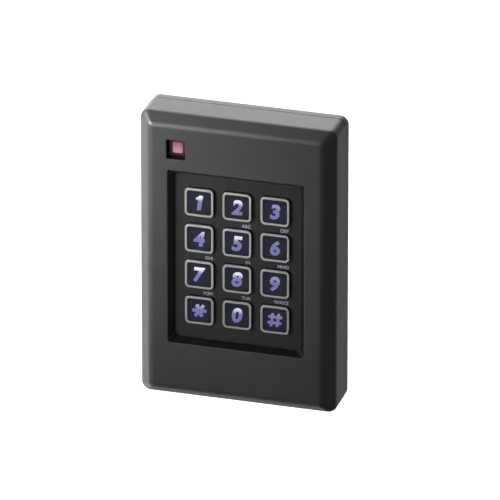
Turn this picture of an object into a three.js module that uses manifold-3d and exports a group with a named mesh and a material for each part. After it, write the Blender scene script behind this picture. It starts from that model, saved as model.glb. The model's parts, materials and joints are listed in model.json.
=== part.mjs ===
// Wall-mounted keypad access reader: a bevelled housing with a recessed 4 x 3 keypad, the
// electronics behind it and the plate that it hangs on.
// Millimetres. +Z is up, the front faces -Y, and the wall is the plane y = 0.
// "out" always means the distance from the wall towards the front, so y = -out.

import * as THREE from "three";
import { mergeVertices } from "three/addons/utils/BufferGeometryUtils.js";
import Module from "manifold-3d";

const wasm = await Module();
wasm.setup();

// ---------------------------------------------------------------- driving dimensions

const WIDTH = 99;
const HEIGHT = 149;
const DEPTH = 25.4;
const WALL = 2.5;
const GAP = 0.3;

const BEVEL_SIDE = 6.2;
const BEVEL_TOP = 5;
const BEVEL_DEPTH = 5.4;
const OUTER_CORNER = 4.5;
const FACE_CORNER = 1.5;
const KNEE_FILLET = 2.75;
const FACE_FILLET = 6;
const MOUTH_FILLET = 0.9;
const EDGE_FILLET = 0.4;

const KEY_PITCH = 19.05;
const KEY_SIZE = 14.5;
const KEY_CORNER = 2.3;
const KEY_TRAVEL = 0.8;
const KEY_SUNK = 2.4;
const KEYPAD_Z = 1.2;
const KEY_ROWS = [["1", "2", "3"], ["4", "5", "6"], ["7", "8", "9"], ["star", "0", "hash"]];

const RECESS_WIDTH = 68.6;
const RECESS_HEIGHT = 91.3;
const RECESS_DEPTH = 3.6;
const RECESS_DRAFT = 2.5;
const RECESS_Z = 0.75;
const RECESS_LIP = 2;
const MOUTH_CORNER = 1.2;
const FLOOR_CORNER = 3.5;

const WINDOW_WIDTH = 9.4;
const WINDOW_HEIGHT = 10;
const WINDOW_X = -30;
const WINDOW_Z = 57.2;

const LIGHT_PIPE = { width: 4.6, height: 5.2, front: 22.7, flangeFront: 20.6, back: 17.2 };

const PLATE_THICKNESS = 4;
const PLATE_FLOOR = 2.4;
const BOARD_THICKNESS = 1.6;

// ---------------------------------------------------------------- levels out from the wall

const COVER_REAR = 4.8;
const REAR_COVER_BACK = 5;
const REAR_COVER_FRONT = 7;
const MAIN_BOARD_BACK = 8.6;
const MAIN_BOARD_FRONT = MAIN_BOARD_BACK + BOARD_THICKNESS;
const CHIP_LEVEL = MAIN_BOARD_FRONT + 0.05;
const KEYPAD_BOARD_BACK = 12.6;
const KEYPAD_BOARD_FRONT = KEYPAD_BOARD_BACK + BOARD_THICKNESS;
const COMPONENT_LEVEL = KEYPAD_BOARD_FRONT + 0.05;
const HEADER_LEVEL = (MAIN_BOARD_FRONT + KEYPAD_BOARD_BACK) / 2;
const MAT_BACK = KEYPAD_BOARD_FRONT + GAP;
const MAT_FRONT = MAT_BACK + 1;
const COLLAR_FRONT = MAT_FRONT + 2;
const FLANGE_BACK = COLLAR_FRONT + GAP + KEY_TRAVEL;
const FLANGE_FRONT = FLANGE_BACK + 1;
const BEZEL_BACK = FLANGE_FRONT + GAP;
const RECESS_FLOOR = DEPTH - RECESS_DEPTH;
const BEZEL_FRONT = RECESS_FLOOR - GAP;
const FACE_BACK = DEPTH - WALL;
const KEY_FRONT = DEPTH - KEY_SUNK;

// ---------------------------------------------------------------- shared places

const FACE_WIDTH = WIDTH - 2 * BEVEL_SIDE;
const FACE_HEIGHT = HEIGHT - 2 * BEVEL_TOP;
const INNER_WIDTH = WIDTH - 2 * WALL;
const INNER_HEIGHT = HEIGHT - 2 * WALL;

const BEZEL_WIDTH = RECESS_WIDTH + 2 * WALL;
const BEZEL_HEIGHT = RECESS_HEIGHT + 2 * WALL;
const BEZEL_WALL = 1.3;

const KEYPAD_BOSSES = [[-17, 57], [34, 57], [-34, -51], [34, -51]];
const MAIN_BOARD_POSTS = [[-33, 46], [33, 46], [-33, -46], [33, -46]];
const REAR_COVER_BOSSES = [[-43.6, 68.6], [43.6, 68.6], [-43.6, -68.6], [43.6, -68.6]];

const KEYPAD_BOARD = { width: 78, height: 122, radius: 2, z: 5 };
const MAIN_BOARD = { width: 76, height: 108, radius: 2 };
const COIL = { width: 88, height: 128, radius: 8, band: 3, front: 20.6, back: 17.6 };

const HOOK_X = 25;
const HOOK_WIDTH = 10;
const HOOK_OUT = 11;
const HOOK_BOTTOM = 68.6;
const HOOK_TIP = 72.9;
const STEM_THICKNESS = 2;
const LIP_THICKNESS = 1.4;
const HOOK_PLAY = 0.4;
const LUG_WIDTH = 12;
const LUG_BOTTOM = -71.4;
const LUG_TOP = -63.5;
const LUG_OUT = 13.5;
const LOCK_OUT = 9.2;

const BOX_SCREW_SPACING = 83.3;
const BOX_SCREW_SLOT = { width: 4.5, height: 10, radius: 2.2 };
const CABLE_OPENING = { width: 46, height: 26, radius: 4, z: -19 };
const TERMINAL_SLOT = { width: 36, height: 16, radius: 2, z: -23.5 };
const TAMPER_PLACE = { x: 26, z: -24 };
const TERMINAL_Z = -26;
const HEADER = { width: 24, height: 5, z: -40 };
const BEEPER_PLACE = [4, 55.5];
const CAPACITOR_PLACES = [[15, 55.5], [23.5, 55.5]];

// ---------------------------------------------------------------- outlines and solids

const CORNER_STEPS = 5;
const FILLET_STEPS = 3;
const ROUND_SIDES = 20;
const PILOT_SIDES = 12;

// A rounded rectangle as [x, z] points, anticlockwise seen from the front.
function roundedOutline({ width, height, radius }) {
  const points = [];
  for (let corner = 0; corner < 4; corner += 1) {
    const start = (corner * Math.PI) / 2;
    const middle = start + Math.PI / 4;
    const centreX = Math.sign(Math.cos(middle)) * (width / 2 - radius);
    const centreZ = Math.sign(Math.sin(middle)) * (height / 2 - radius);
    for (let step = 0; step <= CORNER_STEPS; step += 1) {
      const angle = start + (step / CORNER_STEPS) * (Math.PI / 2);
      points.push([centreX + radius * Math.cos(angle), centreZ + radius * Math.sin(angle)]);
    }
  }
  return points;
}

// Rounds the corners of an open profile. Each corner is [inset, out, radius]; the two end
// corners only give the directions in which the profile starts and ends.
function soften(corners) {
  const places = corners.map(([inset, out]) => new THREE.Vector2(inset, out));
  const profile = [];
  for (let i = 1; i < corners.length - 1; i += 1) {
    const arriving = places[i].clone().sub(places[i - 1]).normalize();
    const leaving = places[i + 1].clone().sub(places[i]).normalize();
    const turn = Math.acos(THREE.MathUtils.clamp(arriving.dot(leaving), -1, 1));
    const reach = corners[i][2] * Math.tan(turn / 2);
    if (reach === 0) {
      profile.push(places[i]);
      continue;
    }
    const start = places[i].clone().addScaledVector(arriving, -reach);
    const end = places[i].clone().addScaledVector(leaving, reach);
    profile.push(...new THREE.QuadraticBezierCurve(start, places[i], end).getPoints(FILLET_STEPS));
  }
  return profile;
}

// An outline drawn in by an inset all round, at a level.
function section({ width, height, radius }, inset, out) {
  return {
    width: width - 2 * inset,
    height: height - 2 * inset,
    radius: Math.max(radius - inset, 0.1),
    out,
  };
}

// A closed body through rounded rectangles parallel to the wall, listed from front to back.
function loft(sections, x = 0, z = 0) {
  const positions = [];
  const faces = [];
  const count = 4 * (CORNER_STEPS + 1);
  for (const section of sections) {
    for (const [px, pz] of roundedOutline(section)) {
      positions.push(x + px, -section.out, z + pz);
    }
  }
  const last = sections.length - 1;
  const frontCentre = positions.push(x, -sections[0].out, z) / 3 - 1;
  const backCentre = positions.push(x, -sections[last].out, z) / 3 - 1;
  for (let i = 0; i < count; i += 1) {
    const next = (i + 1) % count;
    faces.push(frontCentre, i, next);
    faces.push(backCentre, last * count + next, last * count + i);
    for (let ring = 0; ring < last; ring += 1) {
      const front = ring * count;
      const back = front + count;
      faces.push(front + i, back + i, front + next);
      faces.push(back + i, back + next, front + next);
    }
  }
  const geometry = new THREE.BufferGeometry();
  geometry.setAttribute("position", new THREE.Float32BufferAttribute(positions, 3));
  geometry.setIndex(faces);
  return geometry;
}

// A rounded slab between two levels.
function slab(outline, front, back, x = 0, z = 0) {
  return loft([{ ...outline, out: front }, { ...outline, out: back }], x, z);
}

// A rounded slab whose front and back edges are softened.
function softSlab(outline, front, back, edge, x = 0, z = 0) {
  const corners = [[1, front, 0], [0, front, edge], [0, back, edge], [1, back, 0]];
  return loft(soften(corners).map(({ x: inset, y: out }) => section(outline, inset, out)), x, z);
}

// A square-cornered block between two levels.
function block(width, height, front, back, x = 0, z = 0) {
  const geometry = new THREE.BoxGeometry(width, front - back, height);
  return geometry.translate(x, -(front + back) / 2, z);
}

// A square-cornered block between two levels and two heights.
function upright(width, bottom, top, front, back, x = 0) {
  return block(width, top - bottom, front, back, x, (bottom + top) / 2);
}

// A round rod square to the wall, between two levels.
function rod(radius, front, back, x = 0, z = 0, sides = ROUND_SIDES) {
  const geometry = new THREE.CylinderGeometry(radius, radius, front - back, sides);
  return geometry.translate(x, -(front + back) / 2, z);
}

// An upright rod between two heights, standing "out" from the wall.
function uprightRod(radius, bottom, top, out) {
  const geometry = new THREE.CylinderGeometry(radius, radius, top - bottom, ROUND_SIDES);
  return geometry.rotateX(Math.PI / 2).translate(0, -out, (bottom + top) / 2);
}

// A turned body: the profile is [radius, out] pairs from its rear end to its front end.
function turned(profile, x, z) {
  const points = profile.map(([radius, out]) => new THREE.Vector2(radius, -out));
  points.reverse();
  return new THREE.LatheGeometry(points, ROUND_SIDES).translate(x, 0, z);
}

// Booleans.

function toSolid(geometry) {
  const bare = geometry.clone();
  bare.deleteAttribute("normal");
  bare.deleteAttribute("uv");
  const merged = mergeVertices(bare);
  return new wasm.Manifold(
    new wasm.Mesh({
      numProp: 3,
      vertProperties: merged.getAttribute("position").array,
      triVerts: Uint32Array.from(merged.index.array),
    }),
  );
}

function toGeometry(solid) {
  const mesh = solid.getMesh();
  const geometry = new THREE.BufferGeometry();
  geometry.setAttribute("position", new THREE.BufferAttribute(mesh.vertProperties, 3));
  geometry.setIndex(new THREE.BufferAttribute(mesh.triVerts, 1));
  return geometry;
}

function join(base, additions) {
  return toGeometry(additions.reduce((sum, part) => sum.add(toSolid(part)), toSolid(base)));
}

function cut(base, tools) {
  return toGeometry(tools.reduce((rest, tool) => rest.subtract(toSolid(tool)), toSolid(base)));
}

function common(first, second) {
  return toGeometry(toSolid(first).intersect(toSolid(second)));
}

// ---------------------------------------------------------------- the assembly

const reader = new THREE.Group();

function addPiece(name, geometry, color, roughness, metalness = 0) {
  const material = new THREE.MeshStandardMaterial({ color, roughness, metalness, flatShading: true });
  const mesh = new THREE.Mesh(geometry, material);
  mesh.name = name;
  reader.add(mesh);
}

// Every key's name and the centre of its cap.
function keyPlaces() {
  return KEY_ROWS.flatMap((row, rowIndex) =>
    row.map((name, column) => ({
      name,
      x: (column - 1) * KEY_PITCH,
      z: KEYPAD_Z + (1.5 - rowIndex) * KEY_PITCH,
    })),
  );
}

// ---------------------------------------------------------------- housing

// One outline of the cover's outside; the bevel is narrower above and below than at the sides.
function coverSection(inset, out) {
  return {
    width: WIDTH - 2 * inset,
    height: HEIGHT - (2 * inset * BEVEL_TOP) / BEVEL_SIDE,
    radius: THREE.MathUtils.mapLinear(inset, 0, BEVEL_SIDE, OUTER_CORNER, FACE_CORNER),
    out,
  };
}

// The outside of the front cover, with soft bevels running round the front face.
function coverOutside() {
  const profile = soften([
    [BEVEL_SIDE + 1, DEPTH, 0],
    [BEVEL_SIDE, DEPTH, FACE_FILLET],
    [0, DEPTH - BEVEL_DEPTH, KNEE_FILLET],
    [0, COVER_REAR, 0],
    [1, COVER_REAR, 0],
  ]);
  return loft(profile.map(({ x: inset, y: out }) => coverSection(inset, out)));
}

// The hollow of the front cover, open at the back.
function coverHollow() {
  const kneeDrop = 0.9;
  const side = { width: INNER_WIDTH, height: INNER_HEIGHT, radius: OUTER_CORNER - WALL };
  return loft([
    { out: FACE_BACK, width: FACE_WIDTH - WALL, height: FACE_HEIGHT - WALL, radius: FACE_CORNER },
    { ...side, out: DEPTH - BEVEL_DEPTH - kneeDrop },
    { ...side, out: COVER_REAR - 1 },
  ]);
}

// One outline of the recess, from its sharp-cornered mouth to its rounder floor.
function recessSection(inset, out) {
  return {
    width: RECESS_WIDTH - 2 * inset,
    height: RECESS_HEIGHT - 2 * inset,
    radius: THREE.MathUtils.mapLinear(inset, 0, RECESS_DRAFT, MOUTH_CORNER, FLOOR_CORNER),
    out,
  };
}

// The drafted keypad recess with its rounded mouth, from in front of the face to behind its lip.
function recessTool() {
  const profile = soften([
    [-1, DEPTH, 0],
    [0, DEPTH, MOUTH_FILLET],
    [RECESS_DRAFT, RECESS_FLOOR, 0],
    [RECESS_DRAFT, RECESS_FLOOR - 1, 0],
    [0, RECESS_FLOOR - 1, 0],
  ]);
  profile.unshift(new THREE.Vector2(profile[0].x, DEPTH + 1));
  return loft(profile.map(({ x: inset, y: out }) => recessSection(inset, out)), 0, RECESS_Z);
}

function recessCollar() {
  const outline = {
    width: RECESS_WIDTH + 2 * RECESS_LIP,
    height: RECESS_HEIGHT + 2 * RECESS_LIP,
    radius: RECESS_LIP,
  };
  return slab(outline, FACE_BACK + 0.5, RECESS_FLOOR, 0, RECESS_Z);
}

// Pads that the antenna coil lies on, at the middle of each side.
function coilPads() {
  const front = FACE_BACK + GAP;
  const back = COIL.front + GAP;
  const beside = (COIL.width - COIL.band) / 2;
  const above = (COIL.height - COIL.band) / 2;
  return [
    block(COIL.band, 8, front, back, -beside, 0),
    block(COIL.band, 8, front, back, beside, 0),
    block(8, COIL.band, front, back, 0, above),
    block(8, COIL.band, front, back, 0, -above),
  ];
}

function frontCover() {
  const shell = cut(coverOutside(), [coverHollow()]);
  const keypadBosses = KEYPAD_BOSSES.map(([x, z]) => rod(3, FACE_BACK + GAP, MAT_BACK, x, z));
  const rearBosses = REAR_COVER_BOSSES.map(([x, z]) =>
    common(rod(3.6, FACE_BACK, REAR_COVER_FRONT + GAP, x, z), coverOutside()),
  );
  const body = join(shell, [recessCollar(), ...coilPads(), ...keypadBosses, ...rearBosses]);
  const pilot = 1.4;
  const pilotHoles = [
    ...KEYPAD_BOSSES.map(([x, z]) => rod(pilot, 21, MAT_BACK - 1, x, z, PILOT_SIDES)),
    ...REAR_COVER_BOSSES.map(([x, z]) => rod(pilot, 14, REAR_COVER_FRONT - 1, x, z, PILOT_SIDES)),
  ];
  const windowHole = block(WINDOW_WIDTH, WINDOW_HEIGHT, DEPTH + 1, FACE_BACK - 1, WINDOW_X, WINDOW_Z);
  const pocketFront = HOOK_OUT + HOOK_PLAY;
  const pocketBack = HOOK_OUT - LIP_THICKNESS - HOOK_PLAY;
  const pocketBottom = INNER_HEIGHT / 2 - 1;
  const hookPockets = [-HOOK_X, HOOK_X].map((x) =>
    upright(HOOK_WIDTH + 1.2, pocketBottom, HOOK_TIP + HOOK_PLAY, pocketFront, pocketBack, x),
  );
  const lockHole = uprightRod(1.5, -HEIGHT / 2 - 1, LUG_BOTTOM, LOCK_OUT);
  const lockSeat = uprightRod(3.1, -HEIGHT / 2 - 1, -HEIGHT / 2 + 1.4, LOCK_OUT);
  return cut(body, [recessTool(), windowHole, ...pilotHoles, ...hookPockets, lockHole, lockSeat]);
}

// Shallow tray on the wall: two hooks hold the cover's top, and a lug takes the locking screw.
function wallPlate() {
  const outline = { width: WIDTH - 0.4, height: HEIGHT - 0.4, radius: OUTER_CORNER - 0.2 };
  const pocket = { width: WIDTH - 8, height: HEIGHT - 8, radius: 3 };
  const root = PLATE_FLOOR - 0.5;
  const rim = softSlab(outline, PLATE_THICKNESS, 0, EDGE_FILLET);
  const tray = cut(rim, [slab(pocket, PLATE_THICKNESS + 1, PLATE_FLOOR)]);
  const hooks = [-HOOK_X, HOOK_X].flatMap((x) => [
    upright(HOOK_WIDTH, HOOK_BOTTOM, HOOK_BOTTOM + STEM_THICKNESS, HOOK_OUT, root, x),
    upright(HOOK_WIDTH, HOOK_BOTTOM + 1, HOOK_TIP, HOOK_OUT, HOOK_OUT - LIP_THICKNESS, x),
  ]);
  const lug = upright(LUG_WIDTH, LUG_BOTTOM, LUG_TOP, LUG_OUT, root);
  const insertHole = uprightRod(2.6, LUG_BOTTOM - 1, LUG_BOTTOM + 6.4, LOCK_OUT);
  const slots = [-1, 1].map((side) =>
    slab(BOX_SCREW_SLOT, PLATE_THICKNESS, -1, 0, (side * BOX_SCREW_SPACING) / 2),
  );
  const cableOpening = slab(CABLE_OPENING, PLATE_THICKNESS + 1, -1, 0, CABLE_OPENING.z);
  return cut(join(tray, [...hooks, lug]), [insertHole, cableOpening, ...slots]);
}

// Soft ring in the joint between cover and wall plate.
function coverGasket() {
  const outer = { width: WIDTH - 1.4, height: HEIGHT - 1.4, radius: OUTER_CORNER - 0.7 };
  const inner = { width: INNER_WIDTH + 0.6, height: INNER_HEIGHT + 0.6, radius: OUTER_CORNER - WALL };
  const front = COVER_REAR - 0.1;
  const back = PLATE_THICKNESS + 0.1;
  return cut(slab(outer, front, back), [slab(inner, front + 1, back - 1)]);
}

// Lid behind the electronics, with posts for the main board and a slot for the terminals.
function rearCover() {
  const outline = { width: INNER_WIDTH - 2 * GAP, height: INNER_HEIGHT - 2 * GAP, radius: 1.7 };
  const lid = slab(outline, REAR_COVER_FRONT, REAR_COVER_BACK);
  const posts = MAIN_BOARD_POSTS.map(([x, z]) => rod(2.8, MAIN_BOARD_BACK - GAP, 6, x, z));
  const screwWells = MAIN_BOARD_POSTS.map(([x, z]) =>
    rod(1.3, MAIN_BOARD_BACK, 5.6, x, z, PILOT_SIDES),
  );
  const countersinks = REAR_COVER_BOSSES.map(([x, z]) =>
    turned([[0, 4], [2.9, 4], [2.9, 5.1], [1.6, 6.4], [1.6, 8], [0, 8]], x, z),
  );
  const through = [REAR_COVER_FRONT + 1, REAR_COVER_BACK - 1];
  const edge = INNER_HEIGHT / 2 + 1;
  const hookNotches = [-HOOK_X, HOOK_X].map((x) =>
    upright(HOOK_WIDTH + 1.6, HOOK_BOTTOM - 0.7, edge, ...through, x),
  );
  const lugNotch = upright(LUG_WIDTH + 1.2, -edge, LUG_TOP + 0.6, ...through);
  const terminalSlot = slab(TERMINAL_SLOT, ...through, 0, TERMINAL_SLOT.z);
  const tamperSight = rod(2.5, ...through, TAMPER_PLACE.x, TAMPER_PLACE.z);
  return cut(join(lid, posts), [
    ...screwWells,
    ...countersinks,
    ...hookNotches,
    lugNotch,
    terminalSlot,
    tamperSight,
  ]);
}

// ---------------------------------------------------------------- keypad

// Tray behind the recess: its face has a square hole round each key.
function keypadBezel() {
  const outline = { width: BEZEL_WIDTH, height: BEZEL_HEIGHT, radius: 3 };
  const hollow = section(outline, BEZEL_WALL);
  const hole = section({ width: KEY_SIZE, height: KEY_SIZE, radius: KEY_CORNER }, -GAP);
  const holes = keyPlaces().map(({ x, z }) => slab(hole, BEZEL_FRONT + 1, BEZEL_BACK - 1, x, z));
  return cut(slab(outline, BEZEL_FRONT, MAT_BACK, 0, RECESS_Z), [
    slab(hollow, BEZEL_BACK, MAT_BACK - 1, 0, RECESS_Z),
    ...holes,
  ]);
}

// Cap with a softened front edge, a flange that stops it behind the bezel, and a contact post.
function keyCap(x, z) {
  const cap = { width: KEY_SIZE, height: KEY_SIZE, radius: KEY_CORNER };
  const flange = section(cap, -1.15);
  const post = { width: 7, height: 7, radius: 3.4 };
  const postEnd = MAT_BACK + KEY_TRAVEL + 0.1;
  const edge = soften([[1, KEY_FRONT, 0], [0, KEY_FRONT, EDGE_FILLET], [0, FLANGE_FRONT, 0]]);
  return loft(
    [
      ...edge.map(({ x: inset, y: out }) => section(cap, inset, out)),
      { ...cap, out: FLANGE_FRONT },
      { ...flange, out: FLANGE_FRONT },
      { ...flange, out: FLANGE_BACK },
      { ...post, out: FLANGE_BACK },
      { ...post, out: postEnd },
    ],
    x,
    z,
  );
}

// Places between the rows and columns of keys, where the backlight shines.
function backlightPlaces() {
  return [1, 0, -1].flatMap((row) =>
    [-0.5, 0.5].map((column) => ({ x: column * KEY_PITCH, z: KEYPAD_Z + row * KEY_PITCH })),
  );
}

// Silicone sheet with a collar round each key's post.
function keyMat() {
  const outline = { width: 70, height: 92.6, radius: 1.5 };
  const sheet = slab(outline, MAT_FRONT, MAT_BACK, 0, RECESS_Z);
  const collars = keyPlaces().map(({ x, z }) => rod(5.5, COLLAR_FRONT, MAT_BACK + 0.2, x, z));
  const bores = keyPlaces().map(({ x, z }) => rod(4, COLLAR_FRONT + 1, MAT_BACK - 1, x, z));
  const pockets = backlightPlaces().map(({ x, z }) =>
    block(3.8, 2.8, MAT_FRONT + 1, MAT_BACK - 1, x, z),
  );
  return cut(join(sheet, collars), [...bores, ...pockets]);
}

function keypadBoard() {
  const sheet = slab(KEYPAD_BOARD, KEYPAD_BOARD_FRONT, KEYPAD_BOARD_BACK, 0, KEYPAD_BOARD.z);
  const front = KEYPAD_BOARD_FRONT + 1;
  const back = KEYPAD_BOARD_BACK - 1;
  return cut(sheet, KEYPAD_BOSSES.map(([x, z]) => rod(1.6, front, back, x, z, PILOT_SIDES)));
}

// ---------------------------------------------------------------- status light

function statusWindow() {
  const rim = 1.5;
  const outline = { width: WINDOW_WIDTH + 2 * rim, height: WINDOW_HEIGHT + 2 * rim, radius: 1 };
  const front = FACE_BACK - GAP;
  const back = front - 1.6;
  const hole = block(LIGHT_PIPE.width + 2 * GAP, LIGHT_PIPE.height + 2 * GAP, front + 1, back - 1);
  const lens = softSlab(outline, front, back, GAP);
  return cut(lens, [hole]).translate(WINDOW_X, 0, WINDOW_Z);
}

// Clear block whose end shows in the status window, with a flange that keeps it in.
function statusLightPipe() {
  const shaft = { width: LIGHT_PIPE.width, height: LIGHT_PIPE.height, radius: 0.5 };
  const flange = { width: LIGHT_PIPE.width + 1.8, height: LIGHT_PIPE.height + 1.8, radius: 0.8 };
  const { front, flangeFront } = LIGHT_PIPE;
  const end = soften([[1, front, 0], [0, front, GAP], [0, flangeFront, 0]]);
  return loft(
    [
      ...end.map(({ x: inset, y: out }) => section(shaft, inset, out)),
      { ...shaft, out: flangeFront },
      { ...flange, out: flangeFront },
      { ...flange, out: flangeFront - 1 },
      { ...shaft, out: flangeFront - 1 },
      { ...shaft, out: LIGHT_PIPE.back },
    ],
    WINDOW_X,
    WINDOW_Z,
  );
}

// ---------------------------------------------------------------- electronics

function mainBoard() {
  const sheet = slab(MAIN_BOARD, MAIN_BOARD_FRONT, MAIN_BOARD_BACK);
  const front = MAIN_BOARD_FRONT + 1;
  const back = MAIN_BOARD_BACK - 1;
  return cut(sheet, MAIN_BOARD_POSTS.map(([x, z]) => rod(1.4, front, back, x, z, PILOT_SIDES)));
}

// Flat winding that runs round the keypad just inside the walls.
function antennaCoil() {
  const inner = section(COIL, COIL.band);
  return cut(slab(COIL, COIL.front, COIL.back), [slab(inner, COIL.front + 1, COIL.back - 1)]);
}

// Screw terminals: wires enter from above, and the screws are turned from the back.
function terminalBlock() {
  const ways = 8;
  const pitch = 3.81;
  const front = MAIN_BOARD_BACK - 0.1;
  const back = 3.1;
  const tools = [];
  for (let way = 0; way < ways; way += 1) {
    const x = (way - (ways - 1) / 2) * pitch;
    tools.push(block(2.4, 5, 5.5, 3.8, x, TERMINAL_Z + 3.5));
    tools.push(rod(1.3, back + 1.2, back - 1, x, TERMINAL_Z - 2, PILOT_SIDES));
  }
  return cut(block(ways * pitch + 1.2, 8, front, back, 0, TERMINAL_Z), tools);
}

function beeper() {
  const front = KEYPAD_BOARD_FRONT + 5.6;
  const can = rod(5, front, COMPONENT_LEVEL, ...BEEPER_PLACE);
  return cut(can, [rod(1, front + 1, front - 2, ...BEEPER_PLACE, PILOT_SIDES)]);
}

// ---------------------------------------------------------------- fasteners

// Pan-head screw with a straight slot. Its head bears on the level "seat", and it is driven
// from the back when its tip is further out than its seat.
function panScrew({ headRadius, headHeight, shaftRadius, seat, tip }, x, z) {
  const forward = Math.sign(tip - seat);
  const end = seat - forward * headHeight;
  const chamfer = 0.4;
  const profile = [
    [0, end],
    [headRadius - chamfer, end],
    [headRadius, end + forward * chamfer],
    [headRadius, seat],
    [shaftRadius, seat],
    [shaftRadius, tip],
    [0, tip],
  ];
  const body = turned(forward > 0 ? profile : profile.reverse(), x, z);
  return cut(body, [block(2 * headRadius + 1, 0.6, end + 0.6, end - 0.6, x, z)]);
}

function countersunkScrew(x, z) {
  const back = REAR_COVER_BACK + 0.1;
  const tip = 13.5;
  const profile = [[0, back], [2.5, back], [1.15, back + 1.35], [1.15, tip], [0, tip]];
  return cut(turned(profile, x, z), [block(6, 0.6, back + 0.6, back - 1, x, z)]);
}

// Locking screw that enters the lug from below, with a six-sided socket.
function lockScrew() {
  const headBottom = -HEIGHT / 2 + 0.2;
  const shaft = uprightRod(1.2, headBottom + 0.5, LUG_BOTTOM + 5.4, LOCK_OUT);
  const head = uprightRod(2.8, headBottom, headBottom + 1.1, LOCK_OUT);
  const socket = new THREE.CylinderGeometry(1.1, 1.1, 1.4, 6).rotateX(Math.PI / 2);
  return cut(join(head, [shaft]), [socket.translate(0, -LOCK_OUT, headBottom)]);
}

function lockInsert() {
  const sleeve = uprightRod(2.3, LUG_BOTTOM + 0.1, LUG_BOTTOM + 6.1, LOCK_OUT);
  return cut(sleeve, [uprightRod(1.5, LUG_BOTTOM - 1, LUG_BOTTOM + 7, LOCK_OUT)]);
}

// ---------------------------------------------------------------- placing every piece

const HOUSING = 0x3a3b3d;
const PANEL = 0x2a2b2d;
const SILICONE = 0x8d8f92;
const BOARD = 0x1f5a38;
const COMPONENT = 0x1a1a1c;
const STEEL = 0xb9bcc0;
const BRASS = 0xb8923f;
const COPPER = 0xb06a3a;
const TERMINAL_GREEN = 0x2f6b46;

// A rectangular package that stands on the main board's front.
function addChip(name, { width, height, thickness, x, z }, color) {
  const body = block(width, height, CHIP_LEVEL + thickness, CHIP_LEVEL, x, z);
  addPiece(name, body, color, 0.5);
}

addPiece("front_cover", frontCover(), HOUSING, 0.55);
addPiece("wall_plate", wallPlate(), HOUSING, 0.6);
addPiece("cover_gasket", coverGasket(), COMPONENT, 0.9);
addPiece("rear_cover", rearCover(), HOUSING, 0.6);

addPiece("keypad_bezel", keypadBezel(), PANEL, 0.5);
for (const { name, x, z } of keyPlaces()) {
  addPiece(`key_${name}`, keyCap(x, z), 0x3b3d4c, 0.3);
}
addPiece("key_mat", keyMat(), SILICONE, 0.8);
addPiece("keypad_board", keypadBoard(), BOARD, 0.5);
backlightPlaces().forEach(({ x, z }, index) => {
  const led = block(3, 2, COMPONENT_LEVEL + 0.9, COMPONENT_LEVEL, x, z);
  addPiece(`backlight_led_${index + 1}`, led, 0xd8dcff, 0.3);
});

addPiece("status_window", statusWindow(), 0x3a1420, 0.15);
addPiece("status_light_pipe", statusLightPipe(), 0xe08aa8, 0.2);
const statusLed = block(5, 5, COMPONENT_LEVEL + 2.6, COMPONENT_LEVEL, WINDOW_X, WINDOW_Z);
addPiece("status_led", statusLed, 0xf2e9ea, 0.3);

addPiece("beeper", beeper(), COMPONENT, 0.6);
CAPACITOR_PLACES.forEach(([x, z], index) => {
  const top = COMPONENT_LEVEL + 5.8;
  const side = 3.15;
  const shoulder = [[side, top - 0.5], [side - 0.45, top]];
  const can = [[0, COMPONENT_LEVEL], [side, COMPONENT_LEVEL], ...shoulder, [0, top]];
  addPiece(`filter_capacitor_${index + 1}`, turned(can, x, z), STEEL, 0.3, 0.8);
});

const socketFront = KEYPAD_BOARD_BACK - 0.05;
const socket = block(HEADER.width, HEADER.height, socketFront, HEADER_LEVEL + 0.05, 0, HEADER.z);
const header = block(HEADER.width, HEADER.height, HEADER_LEVEL - 0.05, CHIP_LEVEL, 0, HEADER.z);
addPiece("board_socket", socket, COMPONENT, 0.6);
addPiece("board_header", header, COMPONENT, 0.6);

addPiece("main_board", mainBoard(), BOARD, 0.5);
addChip("processor_chip", { width: 12, height: 12, thickness: 1.4, x: -12, z: 10 }, COMPONENT);
addChip("reader_chip", { width: 7, height: 7, thickness: 1, x: 14, z: 14 }, COMPONENT);
addChip("clock_crystal", { width: 8, height: 3.4, thickness: 1.8, x: -12, z: -6 }, STEEL);
addChip("voltage_regulator", { width: 6.6, height: 6.2, thickness: 2, x: 20, z: -14 }, COMPONENT);
addPiece("antenna_coil", antennaCoil(), COPPER, 0.4, 0.7);
addPiece("terminal_block", terminalBlock(), TERMINAL_GREEN, 0.5);
const tamperFront = MAIN_BOARD_BACK - 0.05;
const tamperBody = block(4.4, 3.4, tamperFront, tamperFront - 1, TAMPER_PLACE.x, TAMPER_PLACE.z);
addPiece("tamper_sensor", tamperBody, COMPONENT, 0.4);

const KEYPAD_SCREW = {
  headRadius: 2.4,
  headHeight: 1.4,
  shaftRadius: 1.1,
  seat: KEYPAD_BOARD_BACK - 0.05,
  tip: 20,
};
const MAIN_BOARD_SCREW = {
  headRadius: 2.2,
  headHeight: 1.2,
  shaftRadius: 1,
  seat: MAIN_BOARD_FRONT + 0.05,
  tip: 6,
};
KEYPAD_BOSSES.forEach(([x, z], index) => {
  addPiece(`keypad_screw_${index + 1}`, panScrew(KEYPAD_SCREW, x, z), STEEL, 0.3, 0.9);
});
MAIN_BOARD_POSTS.forEach(([x, z], index) => {
  addPiece(`main_board_screw_${index + 1}`, panScrew(MAIN_BOARD_SCREW, x, z), STEEL, 0.3, 0.9);
});
REAR_COVER_BOSSES.forEach(([x, z], index) => {
  addPiece(`rear_cover_screw_${index + 1}`, countersunkScrew(x, z), STEEL, 0.3, 0.9);
});
addPiece("lock_screw", lockScrew(), STEEL, 0.3, 0.9);
addPiece("lock_insert", lockInsert(), BRASS, 0.35, 0.9);

export default reader;
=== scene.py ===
"""Looks of the wall-mounted keypad access reader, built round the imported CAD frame.

The frame is in metres: +X is right, +Z is up, and the wall is the plane y = 0 with the front
facing -Y. Lengths written here are millimetres, scaled where a mesh is made. "out" is always
the distance from the wall, so y = -out.
"""

import json
import math

import bmesh
import bpy
from mathutils import Matrix, Vector


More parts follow.
